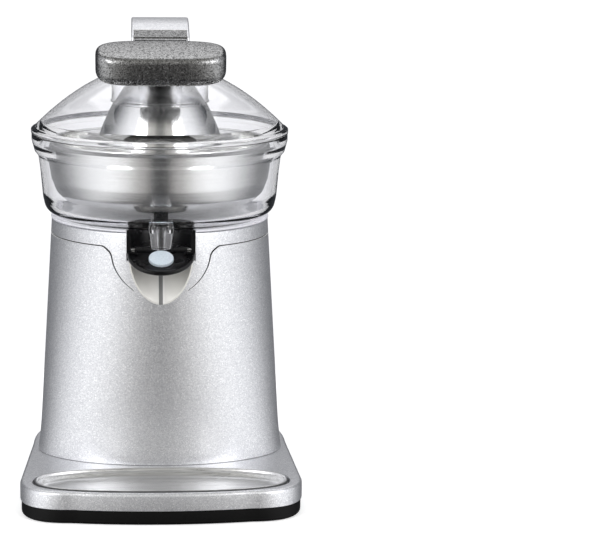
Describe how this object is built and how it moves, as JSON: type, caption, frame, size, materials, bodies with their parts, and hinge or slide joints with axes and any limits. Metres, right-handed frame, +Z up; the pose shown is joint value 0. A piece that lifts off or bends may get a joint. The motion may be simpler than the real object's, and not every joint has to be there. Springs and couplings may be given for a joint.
{
  "type": "citrus press juicer",
  "caption": "Electric citrus press with a hinged lever that lowers a steel dome over a driven reamer, clear bowl and lid, drip stop and drip tray.",
  "frame": {"origin": "centre of the bounding box at the underside of the feet", "axes": "+Z up, -Y to the front where the juice runs out, +X to the right seen from the front"},
  "size_m": [0.2068, 0.273, 0.3528],
  "materials": {
    "silver_paint": "fine metallic silver paint, satin",
    "black_plastic": "fine textured black moulding",
    "soft_touch": "speckled grey-black soft-touch coat",
    "clear_plastic": "clear moulded plastic, polished",
    "brushed_steel": "brushed round the axis",
    "polished_steel": "finely polished",
    "grey_silicone": "smooth pale blue-grey silicone",
    "rubber": "matt black rubber",
    "white_plastic": "natural acetal",
    "brass": "machined",
    "copper": "enamelled winding",
    "board": "green circuit board with black parts"
  },
  "bodies": {
    "machine": {"base_cover": "silver_paint", "base_pan": "black_plastic", "foot_1": "rubber", "foot_2": "rubber", "foot_3": "rubber", "foot_4": "rubber", "base_screw_1": "brushed_steel", "base_screw_2": "brushed_steel", "base_screw_3": "brushed_steel", "base_screw_4": "brushed_steel", "lower_housing": "silver_paint", "upper_housing": "silver_paint", "niche_liner": "brushed_steel", "bowl_seat_ring": "grey_silicone", "cord_gland": "rubber", "hinge_column": "silver_paint", "hinge_pin": "polished_steel", "juice_bowl": "clear_plastic", "strainer": "brushed_steel", "idler_axle": "polished_steel", "motor_stator": "brushed_steel", "motor_winding": "copper", "motor_can": "brushed_steel", "motor_end_cap": "brushed_steel", "gearbox_tray": "black_plastic", "gearbox_cover": "black_plastic", "lower_bearing": "brass", "upper_bearing": "brass", "shaft_seal": "rubber", "microswitch": "black_plastic", "switch_bracket": "brushed_steel", "control_board": "board", "drip_stop_carrier": "black_plastic", "drip_stop_pin": "polished_steel"},
    "lever": {"arm_shell": "silver_paint", "arm_inlay": "soft_touch", "arm_underside": "black_plastic", "arm_bar": "brushed_steel", "handle_grip": "soft_touch", "handle_screw_1": "brushed_steel", "handle_screw_2": "brushed_steel", "press_dome": "polished_steel", "dome_stem": "polished_steel", "dome_nut": "brushed_steel", "dome_seal": "grey_silicone", "lid": "clear_plastic"},
    "drip_stop": {"drip_stop_tongue": "black_plastic", "drip_stop_pad": "grey_silicone"},
    "drip_tray_body": {"drip_tray": "brushed_steel"},
    "reamer_drive": {"reamer": "black_plastic", "output_shaft": "polished_steel", "output_gear": "white_plastic", "shaft_clip": "brushed_steel"},
    "idler": {"idler_pinion": "brushed_steel", "idler_gear": "white_plastic"},
    "rotor": {"motor_pinion": "brass", "motor_rotor": "brushed_steel", "motor_fan": "white_plastic"},
    "plunger": {"switch_plunger": "white_plastic"}
  },
  "joints": [
    {"name": "lever_hinge", "type": "hinge", "parent": "machine", "child": "lever", "pos_m": [0, 0.1245, 0.286], "axis": [-1, 0, 0], "range_deg": [0, 90]},
    {"name": "drip_stop_flip", "type": "hinge", "parent": "machine", "child": "drip_stop", "pos_m": [0, -0.0617, 0.189], "axis": [-1, 0, 0], "range_deg": [0, 25]},
    {"name": "drip_tray_lift", "type": "slide", "parent": "machine", "child": "drip_tray_body", "axis": [0, 0, 1], "range_m": [0, 0.04]},
    {"name": "reamer_spin", "type": "hinge", "parent": "machine", "child": "reamer_drive", "pos_m": [0, 0.0105, 0.23], "axis": [0, 0, 1], "continuous": true},
    {"name": "idler_spin", "type": "hinge", "parent": "machine", "child": "idler", "pos_m": [0, 0.0405, 0.169], "axis": [0, 0, 1], "continuous": true},
    {"name": "motor_spin", "type": "hinge", "parent": "machine", "child": "rotor", "pos_m": [0, 0.0645, 0.124], "axis": [0, 0, 1], "continuous": true},
    {"name": "switch_press", "type": "slide", "parent": "machine", "child": "plunger", "axis": [0, 0, -1], "range_m": [0, 0.0012], "stiffness_N_per_m": 300}
  ],
  "couplings": [
    {"joint": "idler_spin", "follows": "reamer_spin", "ratio": -3},
    {"joint": "motor_spin", "follows": "reamer_spin", "ratio": 9}
  ]
}
